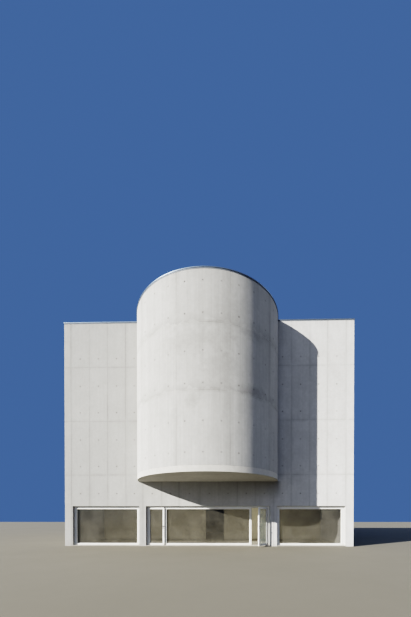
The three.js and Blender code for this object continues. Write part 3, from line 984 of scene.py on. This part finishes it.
def coping_section(outer, inner, grow=0.0):
    """The folded sheet over a wall's top as (distance outwards, height), the inner side first."""
    back = 0.003 - grow
    lip = COPING_TOP - 0.042
    fall = 0.014
    fold = 0.004
    hem, hem_height = 0.018, 0.008
    return [
        (inner + hem, lip),
        (inner + back, lip),
        (inner + back, COPING_TOP - fall - back),
        (outer - back - fold, COPING_TOP - back),
        (outer - back, COPING_TOP - back - fold),
        (outer - back, lip),
        (outer - hem, lip),
        (outer - hem, lip + hem_height),
        (inner + hem, lip + hem_height),
    ]


def strip_section(outer, inner):
    """The strip that the sheet is clipped to, set back under its folded edge; its dark colour is partly painted
    shade for the gap under that edge.
    """
    low = WALL_TOP + 2 * JOINT
    high = COPING_TOP - 0.035
    inset = 0.0185
    return [(inner + inset, low), (inner + inset, high), (outer - inset, high), (outer - inset, low)]


def block_rings(section):
    """The section carried round the block from one side of the apse to the other."""
    radius = APSE_RADIUS + (COPING_REACH - HALF) + 3 * JOINT

    def corner(offset, z, x, y):
        return Vector((x * (WALL_MIDDLE + offset), y * (WALL_MIDDLE + offset), z))

    def apse_end(offset, z, side):
        behind = WALL_MIDDLE + offset - INSIDE
        x = math.sqrt(radius ** 2 - max(behind, 0.0) ** 2)
        return Vector((side * x, -WALL_MIDDLE - offset, z))

    rings = [[apse_end(offset, z, -1) for offset, z in section]]
    for x, y in ((-1, -1), (-1, 1), (1, 1), (1, -1)):
        rings.append([corner(offset, z, x, y) for offset, z in section])
    rings.append([apse_end(offset, z, 1) for offset, z in section])
    return rings


def build_copings():
    """The folded sheets over the block and the apse, the strip under them, and their straps."""
    reach = COPING_REACH - HALF + WALL / 2
    overhang = reach - WALL / 2
    outer, inner = APSE_RADIUS + overhang, APSE_INNER - overhang
    block = Bits(swept(block_rings(coping_section(reach, -reach))))
    block.piece("coping_block_sheet", "coping_metal", replaces=["coping_block"])
    apse = Bits(swept(apse_rings(coping_section(outer, inner))))
    smooth_round(apse.piece("coping_apse_sheet", "coping_metal", replaces=["coping_apse"]))
    strip = Bits(swept(block_rings(strip_section(reach, -reach))))
    strip.add(swept(apse_rings(strip_section(outer, inner))))
    strip.piece("coping_strip_and_shade", "coping_strip_and_shade", slot="roofing")

    straps = Bits()
    section = coping_section(reach, -reach, STRAP_RISE)
    runs = [(turn, along) for turn in (90, 180, 270) for along in STRAP_PLACES]
    runs += [(0, along) for along in FRONT_STRAP_PLACES]
    for turn, along in runs:
        place = facade_place(turn)
        rings = []
        for u in (along - STRAP_HALF_WIDTH, along + STRAP_HALF_WIDTH):
            rings.append([place(u, z, HALF - WALL_MIDDLE - offset) for offset, z in section])
        straps.add(swept(rings))
    section = coping_section(outer, inner, STRAP_RISE)
    for angle in APSE_STRAP_ANGLES:
        edges = (angle - STRAP_HALF_ANGLE, angle, angle + STRAP_HALF_ANGLE)
        straps.add(swept([[apse_point(edge, radius, z) for radius, z in section] for edge in edges]))
    straps.piece("coping_straps", "coping_metal")


def build_roof_felt():
    """Strips of felt, each lapped over the next, across the block and the apse."""
    edge = INSIDE - 0.005
    thickness, lap_rise, tilt = 0.004, 0.005, 0.003
    first_laps, stagger = (-2.2, 2.6), 1.3
    count = 15
    width = 2 * edge / count
    columns = (0.0, 0.02, 0.14, 0.26, 0.38, 0.50, 0.62, 0.74, 0.86, 1.0)
    felt = Bits()
    seam = []

    def front(x):
        behind = max(APSE_INNER ** 2 - x ** 2, 0.0)
        return -edge - math.sqrt(behind)

    for strip in range(count):
        start = -edge + strip * width
        laps = [lap + stagger * (strip % 3) for lap in first_laps]
        for low, high in zip([None] + laps, laps + [edge]):
            rings = []
            for share in columns:
                x = start + share * width
                near = front(x) if low is None else low
                top = ROOF_TOP + thickness + lap_rise * (1 - share)
                rings.append([Vector((x, near, ROOF_TOP)), Vector((x, high, ROOF_TOP)),
                              Vector((x, high, top)), Vector((x, near, top + tilt))])
                seam += [float(share == 0.0)] * 4
            felt.add(swept(rings))
    piece = felt.piece("roof_felt", "roofing")
    store(piece.data, "seam", "POINT", seam)


def offset_path(path, distance):
    """A closed path in plan moved sideways to its right, with mitred corners."""
    placed = []
    for step, point in enumerate(path):
        before = (point - path[step - 1]).normalized()
        after = (path[(step + 1) % len(path)] - point).normalized()
        sides = Vector((before.y + after.y, -before.x - after.x))
        placed.append(point + sides * (distance / (1 + before.dot(after))))
    return placed


def build_upstand():
    """Felt turned up the inside of the walls over a fillet, and the bar that clamps its edge."""
    corners = ((-APSE_INNER, -INSIDE), (-INSIDE, -INSIDE), (-INSIDE, INSIDE),
               (INSIDE, INSIDE), (INSIDE, -INSIDE), (APSE_INNER, -INSIDE))
    path = [Vector(corner) for corner in corners]
    leftwards = range(86, -87, -4)
    path += [apse_point(angle, APSE_INNER, 0).to_2d() for angle in leftwards]
    felt = ((0.001, ROOF_TOP), (0.09, ROOF_TOP), (0.09, ROOF_TOP + 0.014),
            (0.075, ROOF_TOP + 0.018), (0.014, ROOF_TOP + 0.075), (0.009, ROOF_TOP + 0.10),
            (0.009, UPSTAND_TOP), (0.001, UPSTAND_TOP))
    bar = ((0.0092, UPSTAND_TOP - 0.050), (0.013, UPSTAND_TOP - 0.048),
           (0.013, UPSTAND_TOP - 0.017), (0.0092, UPSTAND_TOP - 0.015))
    pieces = (("roof_upstand", felt, "roofing"), ("upstand_bar", bar, "coping_metal"))
    for name, section, material in pieces:
        rings = [[] for _ in path]
        for distance, z in section:
            for ring, point in zip(rings, offset_path(path, distance)):
                ring.append(Vector((*point, z)))
        Bits(swept(rings, closed=True)).piece(name, material)


def build_pane_edges(name, body, place, hole, face, back, rear, *more):
    """The beads on a pane's face and back, with more bits, and the gasket at the outer bead."""
    width, crest = -0.011, -0.004
    out, end = face - 0.019, rear + 0.002
    outer = ((0.0, face), (width, face), (width, face - 0.007), (crest, out), (0.0, out))
    inner = ((0.0, back), (width, back), (width, back + 0.001), (crest, end), (0.0, end))
    gasket = ((-0.010, face), (-0.017, face), (-0.0155, face - 0.003), (-0.010, face - 0.0045))
    beads = Bits(*more, mitred(place, hole, outer), mitred(place, hole, inner))
    beads.piece(f"{name}_beads", "white_frame", body=body)
    strip = Bits(mitred(place, hole, gasket))
    strip.piece(f"{name}_gasket", "gasket", body=body, slot="roofing")


def build_windows():
    """Mouldings that stand proud of the frames, beads, gaskets and sealant of every fixed pane."""
    width = 0.07
    foot, top = FRAME_FACE + 0.001, FRAME_FACE - 0.008
    moulding_section = ((0.004, foot), (0.004, top + 0.003), (0.007, top),
                        (width - 0.003, top), (width, top + 0.003), (width, foot))
    sealant_section = ((-0.0005, FRAME_FACE), (-0.014, FRAME_FACE), (-0.0005, FRAME_FACE - 0.012))
    entrance_stile = CENTRE_OPENING - CENTRE_GLASS - JOINT
    for name, turn, (left, right) in WINDOWS:
        place = facade_place(turn)
        stile = entrance_stile if name == "entrance" else WINDOW_STILE
        hole = (left + stile, right - stile, GLASS_LOW - JOINT, GLASS_HIGH + JOINT)
        moulding = mitred(place, hole, moulding_section)
        build_pane_edges(name, "building", place, hole, GLASS_FACE, GLASS_REAR, FRAME_REAR, moulding)
        sealant = Bits(mitred(place, (left, right, FLOOR_TOP, OPENING_TOP), sealant_section))
        sealant.piece(f"{name}_sealant", "sealant", slot="smooth_concrete")


def door_place(joint):
    """Maps (x, z, v) on a closed leaf to its place at rest."""
    hinge = Vector(joint["pos_m"])
    turn = Matrix.Rotation(math.radians(-joint["range_deg"][0]), 4, Vector(joint["axis"]))
    moved = Matrix.Translation(hinge) @ turn @ Matrix.Translation(-hinge)
    return lambda x, z, v: moved @ Vector((x, v - HALF, z))


def upright(x, y, z):
    return Vector((x, y, z))


def hinge_cap(joint, z, up):
    """A small dome on the end of a hinge's knuckle; up is 1 on top and -1 below."""
    x, y = joint["pos_m"][:2]
    steps = ((0.0, -0.001), (0.001, 0.0012), (0.005, 0.0012), (0.008, -0.003), (0.009, -0.007))
    profile = [(z + up * rise, KNUCKLE_RADIUS + wider) for rise, wider in steps]
    return turned(upright, x, y, profile)


def build_doors():
    """Beads, gasket, lock, seal and hinge caps of both doors."""
    near, far, low, high = DOORWAY
    inset = 0.010
    seal = ((-0.004, STOP_FACE), (0.004, STOP_FACE),
            (0.002, STOP_FACE - 0.0035), (-0.002, STOP_FACE - 0.0035))
    for joint in frame["joints"]:
        body = joint["child"]
        side = math.copysign(1, joint["pos_m"][0])
        place = door_place(joint)
        across = sorted((side * LEAF_HOLE_NEAR, side * LEAF_HOLE_FAR))
        hole = (*across, GLASS_LOW - JOINT, GLASS_HIGH + JOINT)
        build_pane_edges(body, body, place, hole, LEAF_GLASS_FACE, LEAF_GLASS_REAR, LEAF_REAR)
        lock = Bits()
        lock_x, lock_z = side * LOCK_PLACE[0], LOCK_PLACE[1]
        for face, out in ((FRAME_FACE, -1), (LEAF_REAR, 1)):
            profile = [(face + out * step, radius) for step, radius in LOCK_PROFILE]
            lock.add(turned(place, lock_x, lock_z, profile))
        smooth_round(lock.piece(f"{body}_lock", "handle_metal", body=body))

        rect = (*sorted((side * (near + inset), side * (far - inset))), low, high - inset)
        strip = Bits(mitred(facade_place(0), rect, seal, closed=False))
        strip.piece(f"{body}_seal", "gasket", slot="roofing")
        top, bottom = Bits(), Bits()
        for height in HINGE_HEIGHTS:
            top.add(hinge_cap(joint, height + HINGE_HALF_HEIGHT, 1))
            bottom.add(hinge_cap(joint, height - HINGE_HALF_HEIGHT, -1))
        smooth_round(top.piece(f"{body}_hinge_caps", "white_frame", body=body))
        smooth_round(bottom.piece(f"{body}_hinge_feet", "white_frame"))


def dress_nodes():
    """Gives the CAD nodes that show their finish, and softens the frames and handles."""
    slots = {row["node"]: row["material_slot"] for row in frame["record"]["subparts"]}
    for name, node in frame["nodes"].items():
        if node.hide_render:
            continue
        node.data.materials.clear()
        # the open right leaf gets the pale, partly painted-light copy of the glass
        finish = "pale_glass_painted_light" if name == "door_right_glass" else slots[name]
        node.data.materials.append(MATERIALS[finish])
        if slots[name] in ("white_frame", "handle_metal"):
            soften(node, FRAME_ARRIS)


def make_floor():
    reach = 120.0
    points = [(-reach, -reach, 0), (reach, -reach, 0), (reach, reach, 0), (-reach, reach, 0)]
    mesh = bpy.data.meshes.new("studio_floor")
    mesh.from_pydata(points, [], [(0, 1, 2, 3)])
    plain_material("studio_floor", (0.178, 0.163, 0.128), (0.168, 0.154, 0.12), 0.3, 0.9)
    mesh.materials.append(MATERIALS["studio_floor"])
    floor = add_object("studio_floor", mesh)
    floor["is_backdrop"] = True


def write_sizes():
    boxes = [[list(corner) for corner in box] for box in (cad_box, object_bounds())]


make_camera()
make_lights()
make_materials()
build_front_wall()
for side in SIDES:
    build_plain_wall(*side)
build_apse_wall()
build_apse_floor()
build_copings()
build_roof_felt()
build_upstand()
build_windows()
build_doors()
dress_nodes()
make_floor()
write_sizes()
